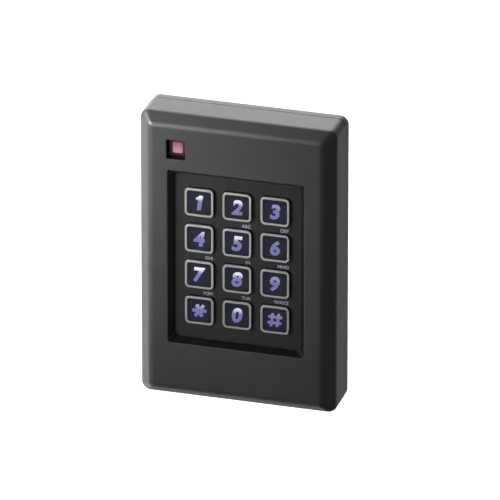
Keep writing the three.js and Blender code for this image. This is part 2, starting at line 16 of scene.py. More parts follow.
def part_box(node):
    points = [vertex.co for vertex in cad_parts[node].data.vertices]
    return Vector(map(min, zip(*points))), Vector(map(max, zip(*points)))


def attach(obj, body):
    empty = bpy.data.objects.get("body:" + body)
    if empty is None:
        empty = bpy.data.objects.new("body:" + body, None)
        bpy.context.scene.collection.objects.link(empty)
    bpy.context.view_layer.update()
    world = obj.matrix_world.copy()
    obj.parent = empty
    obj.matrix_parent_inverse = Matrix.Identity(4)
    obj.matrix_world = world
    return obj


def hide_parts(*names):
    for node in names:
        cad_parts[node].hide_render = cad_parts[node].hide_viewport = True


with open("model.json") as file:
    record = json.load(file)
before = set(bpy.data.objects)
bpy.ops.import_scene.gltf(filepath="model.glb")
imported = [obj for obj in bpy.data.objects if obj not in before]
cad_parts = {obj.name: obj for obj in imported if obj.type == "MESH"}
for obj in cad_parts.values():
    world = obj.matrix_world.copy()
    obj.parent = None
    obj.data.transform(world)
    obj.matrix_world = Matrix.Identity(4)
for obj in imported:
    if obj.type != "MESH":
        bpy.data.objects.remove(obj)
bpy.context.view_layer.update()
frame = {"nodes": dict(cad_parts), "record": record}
scene = bpy.context.scene

MM = 0.001

# ---------------------------------------------------------------- driving dimensions

# Housing
WIDTH = 99
HEIGHT = 149
DEPTH = 25.4
WALL = 2.5
BEVEL_SIDE = 6.2
BEVEL_TOP = 5
BEVEL_DEPTH = 5.4
OUTER_CORNER = 4.5
FACE_CORNER = 1.5
KNEE_FILLET = 2.75
FACE_FILLET = 6
REAR_EDGE_FILLET = 0.15
COVER_REAR = 4.8
FACE_BACK = DEPTH - WALL
INNER_WIDTH = WIDTH - 2 * WALL
INNER_HEIGHT = HEIGHT - 2 * WALL
INNER_CORNER = OUTER_CORNER - WALL
INNER_KNEE = DEPTH - BEVEL_DEPTH - 0.9

# Keypad recess and the panel behind it
RECESS_WIDTH = 68.6
RECESS_HEIGHT = 91.3
RECESS_FLOOR = 21.8
RECESS_DRAFT = 2.5
RECESS_Z = 0.75
MOUTH_FILLET = 0.9
MOUTH_CORNER = 1.2
FLOOR_CORNER = 3.5
FLOOR_FILLET = 0.25
COLLAR_LIP = 2
# How far below the face the painted shade on the recess and window walls starts
SHADE_PAINT_DEPTH = 0.08
BEZEL_FRONT = 21.5
BEZEL_BACK = 19.9
BEZEL_REAR = 14.5
BEZEL_WALL = 1.3
BEZEL_CORNER = 3
KEY_HOLE_GAP = 0.6

# Status window
WINDOW_WIDTH = 9.4
WINDOW_HEIGHT = 10
WINDOW_CORNER = 0.5
LENS_FLANGE = 3
LENS_FRONT = 22.6
LENS_BACK = 21
PIPE_WIDTH = 4.6
PIPE_HEIGHT = 5.2
PIPE_FRONT = 22.7
PIPE_BACK = 17.2
PIPE_GAP = 0.6
PIPE_FLANGE = 0.9
PIPE_FLANGE_FRONT = 20.6
PIPE_FLANGE_BACK = 19.6

# Keys: DISH gives the size, corner and depth of each outline of a cap's hollow, from its middle
KEY_SIZE = 14.5
KEY_CORNER = 2.3
KEY_FRONT = 23.0
KEY_NAMES = ["1", "2", "3", "4", "5", "6", "7", "8", "9", "star", "0", "hash"]
SKIRT_FRONT = KEY_FRONT - 0.6
FLANGE_FRONT = 19.6
FLANGE_BACK = 18.6
FLANGE_SIZE = KEY_SIZE + 2.3
POST_END = 16.4
POST_SIZE = 7
DISH = [(5, 2.2, 0.16), (8.5, 2, 0.13), (11, 1.8, 0.07), (12.8, 1.7, 0), (13.8, 1.9, 0)]
RIM_WIDTH = 1.15
RIM_PROUD = 0.12
RIM_FOOT = KEY_FRONT - 0.55

# Legends on the keys and letter groups under them
LEGEND_SUNK = 0.05
LEGEND_ROOT = 0.3
LEGEND_SHEAR = 0.15
DIGIT_HEIGHT = 7.9
DIGIT_BOLDNESS = 0.045
STAR_SIZE = 7.2
HASH_SIZE = 7.1
HASH_GAP = HASH_SIZE / 4.6
STROKE = 1.8
THIN_STROKE = STROKE * 0.8
ONE_WIDTH = 2.1
ONE_ACROSS = 0.4
FLAG_LENGTH = 2.6
FLAG_ANGLE = math.radians(35)
FLAG_ACROSS = -0.7
FLAG_UP = DIGIT_HEIGHT / 2 - 1.5
PRINT_ROOT = 0.05
PRINT_PROUD = 0.03
LETTER_HEIGHT = 1.75
LETTER_BOLDNESS = 0.012
LETTERS_RIGHT = 6.55
LETTERS_BELOW = 3.75
LETTER_GROUPS = {
    "2": "ABC", "3": "DEF", "4": "GHI", "5": "JKL",
    "6": "MNO", "7": "PQRS", "8": "TUV", "9": "WXYZ",
}

# Screw bosses inside the cover: places are (x, z)
KEYPAD_BOSSES = [(-17, 57), (34, 57), (-34, -51), (34, -51)]
KEYPAD_BOSS_RADIUS = 3
CORNER_BOSS_X = 43.6
CORNER_BOSS_Z = 68.6
CORNER_BOSS_RADIUS = 3.6
CORNER_BOSS_FRONT = 19
CORNER_BOSS_BACK = 7.3

# Wall plate: its hooks at the top, its lug at the bottom, and its openings
PLATE_THICKNESS = 4
PLATE_FLOOR = 2.4
PLATE_INSET = 0.2
PLATE_RIM = 3.8
HOOK_X = 25
HOOK_WIDTH = 10
HOOK_OUT = 11
HOOK_BOTTOM = 68.6
HOOK_TIP = 72.9
STEM_THICKNESS = 2
LIP_THICKNESS = 1.4
LUG_WIDTH = 12
LUG_BOTTOM = -71.4
LUG_TOP = -63.5
LUG_OUT = 13.5
INSERT_RADIUS = 2.6
INSERT_DEPTH = 6.4
BOX_SCREW_SPACING = 83.3
BOX_SLOT_WIDTH = 4.5
BOX_SLOT_HEIGHT = 10
CABLE_WIDTH = 46
CABLE_HEIGHT = 26
CABLE_Z = -19
BACK_POCKETS = [(26.5, 35, 33, 62), (35.5, -36, 15, 60)]
POCKET_DEPTH = 0.4
PIN_MARKS = [(0, 64), (0, 14), (-15, -60), (15, -60)]
PIN_MARK_RADIUS = 2.5
PIN_MARK_DEPTH = 0.15

# Gasket between the wall plate and the cover
GASKET_INSET = 0.35
GASKET_INNER_GAP = 0.3
GASKET_GAP = 0.1
GASKET_FILLET = 0.25

# Locking screw, square to the bottom edge, LOCK_OUT from the wall
LOCK_OUT = 9.2
LOCK_HEAD_RADIUS = 2.8
LOCK_HEAD_CHAMFER = 0.25
LOCK_HEAD_THICKNESS = 1.1
LOCK_HEAD_SUNK = 0.2
LOCK_SOCKET_RADIUS = 1.15
LOCK_SOCKET_DEPTH = 0.7
THREAD_CREST = 1.2
THREAD_ROOT = 1.0
THREAD_STEP = 0.25
THREAD_TURNS = 20
SEAT_RADIUS = 3.1
SEAT_DEPTH = 1.4
SEAT_FLARE = 0.3
SHAFT_HOLE_RADIUS = 1.5

# Terminal block
TERMINAL_WAYS = 8
TERMINAL_PITCH = 3.81
TERMINAL_HEIGHT = 8
TERMINAL_END = 0.6
ENTRY_WIDTH = 2.4
WELL_SIZE = 2.6
WELL_BELOW = 2
WELL_DEPTH = 1.2
TERMINAL_SCREW_RADIUS = 1.15

# Small parts that keep their CAD shape
BEVELLED_SLOTS = ("component", "led", "bare_metal", "circuit_board")
COMPONENT_BEVEL = 0.12

# Mesh and grain fineness; a cutting tool's mouth stands MOUTH_LIFT clear of the face it opens
MOUTH_LIFT = 0.01
CORNER_STEPS = 10
FILLET_STEPS = 6
ROUND_SIDES = 48
SHARP_ANGLE = math.radians(32)
GRAIN_SCALE = 5200

# Lit colours, the heights from a piece's middle between which they change, and how bright the
# top of each key's legend is
CAP_GLOW = (0.007, 0.006, 0.015)
MID_GLOW = (0.112, 0.112, 0.30)
WHITE_GLOW = (0.86, 0.84, 1.0)
LEGEND_FADE = (0.3, 3.6)
KEY_LIGHT = {
    "1": 0.9, "2": 0.85, "3": 0.15, "4": 0.5, "5": 0.8, "6": 0.05,
    "7": 0.9, "8": 0.85, "9": 0.15, "star": 0.4, "0": 0.7, "hash": 0.1,
}
PIPE_GLOW = (0.40, 0.205, 0.285)
PIPE_SHADE = (0.17, 0.088, 0.12)
PIPE_FADE = (-1.5, 2.8)

# Camera and studio, in metres
CAMERA_AZIMUTH = math.radians(16.5)
CAMERA_ELEVATION = math.radians(24.39)
CAMERA_DISTANCE = 4.417
CAMERA_LENS = 657.8
AIM_RIGHT = 0.00336
AIM_UP = 0.00264
FLOOR_LEVEL = -0.26
FLOOR_SIDES = 64
DOME_RADIUS = 5.0

# Soft boxes painted in the surround: how bright each is, and along which axes of its direction
# it goes from dark to full.
SURROUND_LEVEL = 0.10
SOFT_BOXES = [
    (4.0, [("Y", 0.10, 0.45), ("Z", 0.0, 0.35), ("X", 0.25, -0.05)]),
    (3.1, [("X", -0.15, -0.60), ("Y", -0.30, 0.05), ("Z", 0.40, 0.0)]),
    (0.29, [("Y", 0.2, 0.8), ("Z", 0.1, -0.3)]),
    (0.60, [("X", 0.30, 0.75), ("Y", 0.10, 0.50)]),
    (0.15, [("X", 0.40, 0.80)]),
    (0.33, [("Y", -0.5, -0.9), ("X", 0.3, -0.3)]),
]

# Area lights: name, place, aim, size in metres, power in watts and spread in degrees
AREA_LIGHTS = [
    ("key_light", (-0.28, -0.23, 0.17), (-0.080, -0.0254, 0.078), 0.15, 0.30, 34),
    ("fill_light", (-0.28, -0.30, -0.03), (-0.060, -0.0254, -0.08), 0.20, 0.12, 60),
]


# ---------------------------------------------------------------- camera

def make_camera():
    """A very long lens from the right and above, so that parallel edges stay parallel."""
    sideways = math.cos(CAMERA_ELEVATION)
    back = Vector((
        math.sin(CAMERA_AZIMUTH) * sideways,
        -math.cos(CAMERA_AZIMUTH) * sideways,
        math.sin(CAMERA_ELEVATION),
    ))
    right = Vector((math.cos(CAMERA_AZIMUTH), math.sin(CAMERA_AZIMUTH), 0))
    up = back.cross(right)
    middle = Vector((0, -DEPTH / 2 * MM, 0))
    data = bpy.data.cameras.new("camera")
    data.lens = CAMERA_LENS
    data.sensor_width = 36
    camera = bpy.data.objects.new("camera", data)
    camera.rotation_mode = "QUATERNION"
    camera.rotation_quaternion = (-back).to_track_quat("-Z", "Y")
    camera.location = middle + right * AIM_RIGHT + up * AIM_UP + back * CAMERA_DISTANCE
    scene.collection.objects.link(camera)
    scene.camera = camera


# ---------------------------------------------------------------- mesh helpers

def ring(width, height, radius, out, x=0.0, z=0.0):
    """A rounded rectangle parallel to the wall, anticlockwise seen from the front."""
    points = []
    for corner in range(4):
        start = corner * math.pi / 2
        centre_x = x + math.copysign(width / 2 - radius, math.cos(start + math.pi / 4))
        centre_z = z + math.copysign(height / 2 - radius, math.sin(start + math.pi / 4))
        for step in range(CORNER_STEPS + 1):
            angle = start + step / CORNER_STEPS * math.pi / 2
            points.append(Vector((
                centre_x + radius * math.cos(angle),
                -out,
                centre_z + radius * math.sin(angle),
            )))
    return points


def circle(radius, out, x=0.0, z=0.0, sides=ROUND_SIDES):
    """A circle parallel to the wall, anticlockwise seen from the front."""
    turns = [2 * math.pi * i / sides for i in range(sides)]
    return [Vector((x + radius * math.cos(t), -out, z + radius * math.sin(t))) for t in turns]


def soften(corners):
    """Rounds an open profile. Each corner is (inset, out, radius); the two ends are left off."""
    profile = []
    for before, corner, after in zip(corners, corners[1:], corners[2:]):
        here = Vector(corner[:2])
        radius = corner[2]
        arriving = (here - Vector(before[:2])).normalized()
        leaving = (Vector(after[:2]) - here).normalized()
        turn = arriving.angle_signed(leaving)
        if radius == 0 or abs(turn) < 1e-6:
            profile.append(tuple(here))
            continue
        first = here - arriving * radius * math.tan(abs(turn) / 2)
        side = Vector((-arriving.y, arriving.x)) * math.copysign(1, -turn)
        centre = first + side * radius
        for step in range(FILLET_STEPS + 1):
            spoke = (first - centre).copy()
            spoke.rotate(Matrix.Rotation(-turn * step / FILLET_STEPS, 2))
            profile.append(tuple(centre + spoke))
    return profile


def as_mesh(vertices, faces):
    """A mesh in metres from millimetre points, with its faces turned outwards."""
    mesh = bpy.data.meshes.new("solid")
    mesh.from_pydata([tuple(point * MM) for point in vertices], [], faces)
    tidy = bmesh.new()
    tidy.from_mesh(mesh)
    bmesh.ops.recalc_face_normals(tidy, faces=tidy.faces)
    tidy.to_mesh(mesh)
    tidy.free()
    return mesh


def loft(rings, closed=False):
    """A solid through rings of equal point count; a closed one goes back to its first ring."""
    count = len(rings[0])
    levels = len(rings)
    faces = []
    for level in range(levels if closed else levels - 1):
        here = level * count
        there = (level + 1) % levels * count
        for i in range(count):
            j = (i + 1) % count
            faces.append((here + i, there + i, there + j, here + j))
    if not closed:
        faces.append(tuple(range(count)))
        faces.append(tuple(reversed(range((levels - 1) * count, levels * count))))
    return as_mesh([point for r in rings for point in r], faces)


def slab(width, height, radius, front, back, x=0.0, z=0.0, edge=0.0):
    """A rounded slab between two levels, with its front and back edges softened."""
    corners = [(3, front, 0), (0, front, edge), (0, back, edge), (3, back, 0)]
    return loft([
        ring(width - 2 * inset, height - 2 * inset, max(radius - inset, 0.05), out, x, z)
        for inset, out in soften(corners)
    ])


def block(width, height, front, back, x=0.0, z=0.0):
    """A square-cornered block between two levels."""
    across = (x - width / 2, x + width / 2)
    through = (-front, -back)
    upward = (z - height / 2, z + height / 2)
    vertices = [Vector((px, py, pz)) for px in across for py in through for pz in upward]
    faces = [
        (0, 1, 3, 2), (4, 6, 7, 5), (0, 4, 5, 1), (2, 3, 7, 6), (0, 2, 6, 4), (1, 5, 7, 3),
    ]
    return as_mesh(vertices, faces)


def turned(profile, x=0.0, z=0.0, sides=ROUND_SIDES):
    """A turned body square to the wall. The profile is (radius, out) pairs."""
    return loft([circle(radius, out, x, z, sides) for radius, out in profile])


def upended(mesh, out, z):
    """Turns a body made round the origin's y axis upright, with its front end lowered."""
    turn = Matrix.Rotation(math.pi / 2, 4, "X")
    mesh.transform(Matrix.Translation((0, -out * MM, z * MM)) @ turn)
    return mesh


def joined(meshes):
    """Several meshes as one mesh."""
    gathered = bmesh.new()
    for mesh in meshes:
        gathered.from_mesh(mesh)
    result = bpy.data.meshes.new("joined")
    gathered.to_mesh(result)
    gathered.free()
    return result


def baked(obj):
    """The object's mesh with its modifiers applied."""
    graph = bpy.context.evaluated_depsgraph_get()
    return bpy.data.meshes.new_from_object(obj.evaluated_get(graph))


def boolean(operation, base, tools):
    """The base mesh with the tools, which stay clear of each other, added or cut away."""
    subject = bpy.data.objects.new("subject", base)
    tool = bpy.data.objects.new("tool", joined(tools))
    scene.collection.objects.link(subject)
    scene.collection.objects.link(tool)
    modifier = subject.modifiers.new("boolean", "BOOLEAN")
    modifier.operation = operation
    modifier.solver = "EXACT"
    modifier.object = tool
    result = baked(subject)
    bpy.data.objects.remove(subject)
    bpy.data.objects.remove(tool)
    return result


def add(base, tools):
    """The base mesh with the tools joined to it."""
    return boolean("UNION", base, tools)


def cut(base, tools):
    """The base mesh with the tools cut out of it."""
    return boolean("DIFFERENCE", base, tools)


def add_piece(name, mesh, body, material, stands_for=()):
    """A shown piece on a body, smooth but for its sharp edges, with flat faces kept flat."""
    mesh.materials.clear()
    mesh.materials.append(material)
    mesh.polygons.foreach_set("material_index", [0] * len(mesh.polygons))
    mesh.shade_smooth()
    mesh.set_sharp_from_angle(angle=SHARP_ANGLE)
    piece = bpy.data.objects.new(name, mesh)
    scene.collection.objects.link(piece)
    normals = piece.modifiers.new("flat faces", "WEIGHTED_NORMAL")
    normals.keep_sharp = True
    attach(piece, body)
    if stands_for:
        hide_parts(*stands_for)
    return piece


def middle_of(node):
    """The centre of a CAD node, in millimetres."""
    low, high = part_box(node)
    return (low + high) / 2 / MM


# ---------------------------------------------------------------- material helpers

def new_material(name):
    """A material with its node tree and its Principled shader."""
    material = bpy.data.materials.new(name)
    material.use_nodes = True
    return material, material.node_tree, material.node_tree.nodes["Principled BSDF"]


def add_node(tree, kind, inputs=None, **settings):
    """A node with its settings made and its inputs set or linked."""
    node = tree.nodes.new(kind)
    for name, value in settings.items():
        setattr(node, name, value)
    for name, value in (inputs or {}).items():
        if isinstance(value, bpy.types.NodeSocket):
            tree.links.new(value, node.inputs[name])
        else:
            node.inputs[name].default_value = value
    return node


def place(tree, output="Object"):
    """Where a point lies, in the piece's own space or in another of the node's outputs."""
    return add_node(tree, "ShaderNodeTexCoord").outputs[output]


def noise(tree, scale, detail=2.0, stretch=None):
    """Noise over the piece's own space, scale in features per metre."""
    vector = place(tree)
    if stretch:
        stretched = {"Vector": vector, "Scale": stretch}
        vector = add_node(tree, "ShaderNodeMapping", stretched).outputs[0]
    inputs = {"Vector": vector, "Scale": scale, "Detail": detail}
    return add_node(tree, "ShaderNodeTexNoise", inputs).outputs["Fac"]


def spread(tree, value, low, high):
    """Maps noise, which stays near its middle, to the range from low to high."""
    inputs = {"Value": value, "From Min": 0.3, "From Max": 0.7, "To Min": low, "To Max": high}
    return add_node(tree, "ShaderNodeMapRange", inputs).outputs["Result"]


def tint(tree, value, dark, light):
    """Mixes two colours by a 0 to 1 value."""
    mix = add_node(tree, "ShaderNodeMix", data_type="RGBA")
    tree.links.new(value, mix.inputs["Factor"])
    mix.inputs["A"].default_value = (*dark, 1)
    mix.inputs["B"].default_value = (*light, 1)
    return mix.outputs["Result"]


def shade(colour, factor):
    """The colour made darker or lighter by a factor."""
    return tuple(channel * factor for channel in colour)


def plastic(name, colour, roughness, grain=0.25, variation=0.1, specular=0.5):
    """Moulded plastic: faint mottling, uneven satin and a fine sparked grain."""
    material, tree, shader = new_material(name)
    mottle = spread(tree, noise(tree, 90, 4), 0, 1)
    colours = tint(tree, mottle, shade(colour, 1 - variation), shade(colour, 1 + variation))
    tree.links.new(colours, shader.inputs["Base Color"])
    satin = spread(tree, noise(tree, 240, 3), roughness - 0.02, roughness + 0.02)
    tree.links.new(satin, shader.inputs["Roughness"])
    shader.inputs["Specular IOR Level"].default_value = specular
    bump = add_node(tree, "ShaderNodeBump", {
        "Strength": grain, "Distance": 0.00003, "Height": noise(tree, GRAIN_SCALE, 3),
    })
    tree.links.new(bump.outputs["Normal"], shader.inputs["Normal"])
    return material


def metal(name, colour, roughness, stretch=(1, 1, 1)):
    """Plated or drawn metal: fine streaks along the stretched direction."""
    material, tree, shader = new_material(name)
    streaks = noise(tree, 900, 4, stretch)
    colours = tint(tree, spread(tree, streaks, 0, 1), shade(colour, 0.85), colour)
    tree.links.new(colours, shader.inputs["Base Color"])
    shader.inputs["Metallic"].default_value = 1
    rough = spread(tree, streaks, roughness - 0.07, roughness + 0.07)
    tree.links.new(rough, shader.inputs["Roughness"])
    bump = add_node(tree, "ShaderNodeBump", {
        "Strength": 0.15, "Distance": 0.00002, "Height": streaks,
    })
    tree.links.new(bump.outputs["Normal"], shader.inputs["Normal"])
    return material


def soft_rubber(name, colour):
    """Matte rubber with a coarser grain than the plastics."""
    return plastic(name, colour, 0.85, grain=0.6, variation=0.15, specular=0.2)


def circuit_board_material():
    """Green solder mask with a faint pattern of tracks under it."""
    material, tree, shader = new_material("solder_mask")
    tracks = add_node(tree, "ShaderNodeTexBrick", {
        "Vector": add_node(tree, "ShaderNodeMapping", {
            "Vector": place(tree), "Rotation": (math.pi / 2, 0, 0),
        }).outputs[0],
        "Scale": 90.0, "Brick Width": 1.3, "Row Height": 0.09,
        "Mortar Size": 0.018, "Mortar Smooth": 0.3,
        "Color1": (0.006, 0.070, 0.030, 1), "Color2": (0.008, 0.085, 0.036, 1),
        "Mortar": (0.010, 0.105, 0.045, 1),
    })
    tree.links.new(tracks.outputs["Color"], shader.inputs["Base Color"])
    gloss = spread(tree, noise(tree, 400, 3), 0.25, 0.4)
    tree.links.new(gloss, shader.inputs["Roughness"])
    bump = add_node(tree, "ShaderNodeBump", {
        "Strength": 0.2, "Distance": 0.00003, "Height": tracks.outputs["Fac"],
    })
    tree.links.new(bump.outputs["Normal"], shader.inputs["Normal"])
    return material


def winding_material():
    """Enamelled wire: fine bands that run round the coil."""
    material, tree, shader = new_material("enamelled_wire")
    inputs = {"Vector": place(tree), "Scale": 900.0, "Distortion": 0.6, "Detail": 1.0}
    strands = add_node(tree, "ShaderNodeTexWave", inputs, bands_direction="Y").outputs["Fac"]
    colours = tint(tree, strands, (0.22, 0.07, 0.02), (0.62, 0.25, 0.09))
    tree.links.new(colours, shader.inputs["Base Color"])
    shader.inputs["Metallic"].default_value = 0.8
    gloss = spread(tree, noise(tree, 500), 0.28, 0.42)
    tree.links.new(gloss, shader.inputs["Roughness"])
    bump = add_node(tree, "ShaderNodeBump", {
        "Strength": 0.6, "Distance": 0.0001, "Height": strands,
    })
    tree.links.new(bump.outputs["Normal"], shader.inputs["Normal"])
    return material


def lit_plastic(name, body, low_glow, high_glow, start, end, roughness=0.3):
    """Lit translucent plastic: its glow changes from low_glow to high_glow between two heights."""
    material, tree, shader = new_material(name)
    colours = tint(tree, spread(tree, noise(tree, 700, 3), 0, 1), shade(body, 0.85), body)
    tree.links.new(colours, shader.inputs["Base Color"])
    height = add_node(tree, "ShaderNodeSeparateXYZ", {"Vector": place(tree)})
    ramp = add_node(tree, "ShaderNodeMapRange", {
        "Value": height.outputs["Z"], "From Min": start * MM, "From Max": end * MM,
    }, interpolation_type="SMOOTHSTEP")
    glow = tint(tree, ramp.outputs["Result"], low_glow, high_glow)
    tree.links.new(glow, shader.inputs["Emission Color"])
    shader.inputs["Emission Strength"].default_value = 1
    shader.inputs["Specular IOR Level"].default_value = 0.3
    satin = spread(tree, noise(tree, 900), roughness - 0.05, roughness + 0.05)
    tree.links.new(satin, shader.inputs["Roughness"])
    return material


def cap_material(name, glow):
    """Smoked key cap: near black, with a blue-violet glow that fades out from its middle."""
    material, tree, shader = new_material(name)
    mottle = spread(tree, noise(tree, 300, 2), 0, 1)
    colours = tint(tree, mottle, (0.006, 0.006, 0.010), (0.008, 0.008, 0.013))
    tree.links.new(colours, shader.inputs["Base Color"])
    shader.inputs["Specular IOR Level"].default_value = 0.2
    from_middle = add_node(tree, "ShaderNodeVectorMath", {
        0: place(tree, "Generated"), 1: (0.5, 0.5, 0.5),
    }, operation="SUBTRACT")
    flat = add_node(tree, "ShaderNodeVectorMath", {
        0: from_middle.outputs[0], 1: (1, 0, 1),
    }, operation="MULTIPLY")
    distance = add_node(tree, "ShaderNodeVectorMath", {0: flat.outputs[0]}, operation="LENGTH")
    fade = add_node(tree, "ShaderNodeMapRange", {
        "Value": distance.outputs["Value"], "From Min": 0.12, "From Max": 0.5,
        "To Min": 1.0, "To Max": 0.25,
    }, interpolation_type="SMOOTHSTEP")
    haze = tint(tree, fade.outputs["Result"], (0, 0, 0), glow)
    tree.links.new(haze, shader.inputs["Emission Color"])
    shader.inputs["Emission Strength"].default_value = 1
    satin = spread(tree, noise(tree, 500), 0.28, 0.31)
    tree.links.new(satin, shader.inputs["Roughness"])
    return material


# ---------------------------------------------------------------- housing

def cover_ring(inset, out):
    """One outline of the front cover's outside; the bevel is narrower above and below."""
    across = max(inset, 0)
    width = WIDTH - 2 * inset
    height = HEIGHT - 2 * inset * BEVEL_TOP / BEVEL_SIDE
    corner = OUTER_CORNER - (OUTER_CORNER - FACE_CORNER) * min(across / BEVEL_SIDE, 1)
    return ring(width, height, corner, out)


def recess_ring(inset, out):
    """One outline of the drafted keypad recess, from its sharp mouth to its rounder floor."""
    slope = (FLOOR_CORNER - MOUTH_CORNER) / RECESS_DRAFT if inset > 0 else -1
    corner = MOUTH_CORNER + slope * inset
    return ring(RECESS_WIDTH - 2 * inset, RECESS_HEIGHT - 2 * inset, corner, out, 0, RECESS_Z)


def cover_shell():
    """Rounded outside, drafted recess with a softened mouth, and the hollow behind."""
    outside = soften([
        (WALL, COVER_REAR, 0),
        (0, COVER_REAR, REAR_EDGE_FILLET),
        (0, DEPTH - BEVEL_DEPTH, KNEE_FILLET),
        (BEVEL_SIDE, DEPTH, FACE_FILLET),
        (BEVEL_SIDE + 3, DEPTH, 0),
    ])
    recess = soften([
        (-3, DEPTH, 0),
        (0, DEPTH, MOUTH_FILLET),
        (RECESS_DRAFT, RECESS_FLOOR, FLOOR_FILLET),
        (-COLLAR_LIP, RECESS_FLOOR, 0),
        (-COLLAR_LIP, FACE_BACK, 0),
        (0, FACE_BACK, 0),
    ])
    hollow = [
        (WIDTH - 2 * BEVEL_SIDE - WALL, HEIGHT - 2 * BEVEL_TOP - WALL, FACE_CORNER, FACE_BACK),
        (INNER_WIDTH, INNER_HEIGHT, INNER_CORNER, INNER_KNEE),
        (INNER_WIDTH, INNER_HEIGHT, INNER_CORNER, COVER_REAR),
    ]
    rings = [cover_ring(*point) for point in outside]
    rings += [recess_ring(*point) for point in recess]
    rings += [ring(*outline) for outline in hollow]
    return loft(rings, closed=True)


def flared_hole(width, height, radius, mouth, end, x, z, flare):
    """A cutting tool whose mouth flares out, so that the cut edge is left rounded."""
    outward = math.copysign(1, mouth - end)
    arc = [math.pi / 2 * step / FILLET_STEPS for step in range(FILLET_STEPS + 1)]
    throat = [
        (-flare * (1 - math.sin(t)), mouth - outward * flare * (1 - math.cos(t))) for t in arc
    ]
    levels = [(-flare, mouth + outward), *throat, (0, end)]
    return loft([
        ring(width - 2 * inset, height - 2 * inset, radius - inset, out, x, z)
        for inset, out in levels
    ])


def paint_opening_shade(piece, left_wall_painted_shade, painted_shade_lining):
    """Paints shade on the walls of the recess and of the window's hole by giving them darker
    finishes.

    The left wall takes the first, the panel's plastic, as a lighter painted shade. The bottom and
    right walls take the second, a near-black painted shade. The top wall, which faces down, keeps
    the housing's own.
    """
    window = middle_of("status_window")
    openings = [
        (0, RECESS_Z, RECESS_WIDTH / 2 + 1, RECESS_HEIGHT / 2 + 1),
        (window.x, window.z, WINDOW_WIDTH / 2 + 0.1, WINDOW_HEIGHT / 2 + 0.1),
    ]
    piece.data.materials.append(left_wall_painted_shade)
    piece.data.materials.append(painted_shade_lining)
    for face in piece.data.polygons:
        centre = face.center / MM
        for x, z, reach_x, reach_z in openings:
            inside = abs(centre.x - x) < reach_x and abs(centre.z - z) < reach_z
            between = FACE_BACK - 3 < -centre.y < DEPTH - SHADE_PAINT_DEPTH
            # Painted shade: a wall facing right takes the lighter finish, and the bottom and right
            # walls take the near-black one
            if inside and between and face.normal.z > -0.5:
                face.material_index = 1 if face.normal.x > 0.5 else 2


def screw_bosses():
    """Bosses for the keypad board's screws, and for the rear cover's screws in the corners."""
    bosses = [
        turned([(KEYPAD_BOSS_RADIUS, FACE_BACK + 0.3), (KEYPAD_BOSS_RADIUS, BEZEL_REAR)], x, z)
        for x, z in KEYPAD_BOSSES
    ]
    profile = [(CORNER_BOSS_RADIUS, CORNER_BOSS_FRONT), (CORNER_BOSS_RADIUS, CORNER_BOSS_BACK)]
    for side in (-1, 1):
        for end in (-1, 1):
            bosses.append(turned(profile, CORNER_BOSS_X * side, CORNER_BOSS_Z * end))
    return bosses


def make_cover(material, left_wall_painted_shade, painted_shade_lining):
    """The front cover with its bosses, the window's hole and the locking screw's seat."""
    window = middle_of("status_window")
    hole = flared_hole(
        WINDOW_WIDTH, WINDOW_HEIGHT, WINDOW_CORNER, DEPTH + MOUTH_LIFT, FACE_BACK - 1,
        window.x, window.z, 0.3,
    )
    lock = middle_of("lock_screw")
    seat_profile = [
        (SEAT_RADIUS, -SEAT_DEPTH), (SEAT_RADIUS, 0.1),
        (SEAT_RADIUS + SEAT_FLARE, 0.4), (SEAT_RADIUS + SEAT_FLARE, 1),
    ]
    seat = upended(turned(seat_profile), -lock.y, -HEIGHT / 2)
    shaft_profile = [(SHAFT_HOLE_RADIUS, -WALL - 1.5), (SHAFT_HOLE_RADIUS, 1)]
    shaft = upended(turned(shaft_profile), -lock.y, -HEIGHT / 2)
    shell = cut(add(cover_shell(), screw_bosses()), [hole])
    shell = cut(shell, [seat])
    shell = cut(shell, [shaft])
    piece = add_piece("front_shell", shell, "reader", material, ["front_cover"])
    # Painted shade on the walls of the recess and of the window's hole
    paint_opening_shade(piece, left_wall_painted_shade, painted_shade_lining)


def upright(width, bottom, top, front, back, x=0.0):
    """A square-cornered block between two levels and two heights."""
    return block(width, top - bottom, front, back, x, (bottom + top) / 2)


def back_relief():
    """Cutting tools for the shallow pockets and ejector marks moulded in the plate's back."""
    pockets = [
        flared_hole(width, height, 3, -MOUTH_LIFT, POCKET_DEPTH, side * x, z, 0.2)
        for x, z, width, height in BACK_POCKETS for side in (-1, 1)
    ]
    mark = [(PIN_MARK_RADIUS, PIN_MARK_DEPTH), (PIN_MARK_RADIUS, -1)]
    return pockets + [turned(mark, x, z) for x, z in PIN_MARKS]


def hook_stems(root):
    """The two upright stems at the top of the plate."""
    top = HOOK_BOTTOM + STEM_THICKNESS
    return [
        upright(HOOK_WIDTH, HOOK_BOTTOM, top, HOOK_OUT, root, x) for x in (-HOOK_X, HOOK_X)
    ]


def hook_lips():
    """The lips that the cover hangs on, at the ends of the stems."""
    back = HOOK_OUT - LIP_THICKNESS
    return [
        upright(HOOK_WIDTH, HOOK_BOTTOM + 1, HOOK_TIP, HOOK_OUT, back, x)
        for x in (-HOOK_X, HOOK_X)
    ]


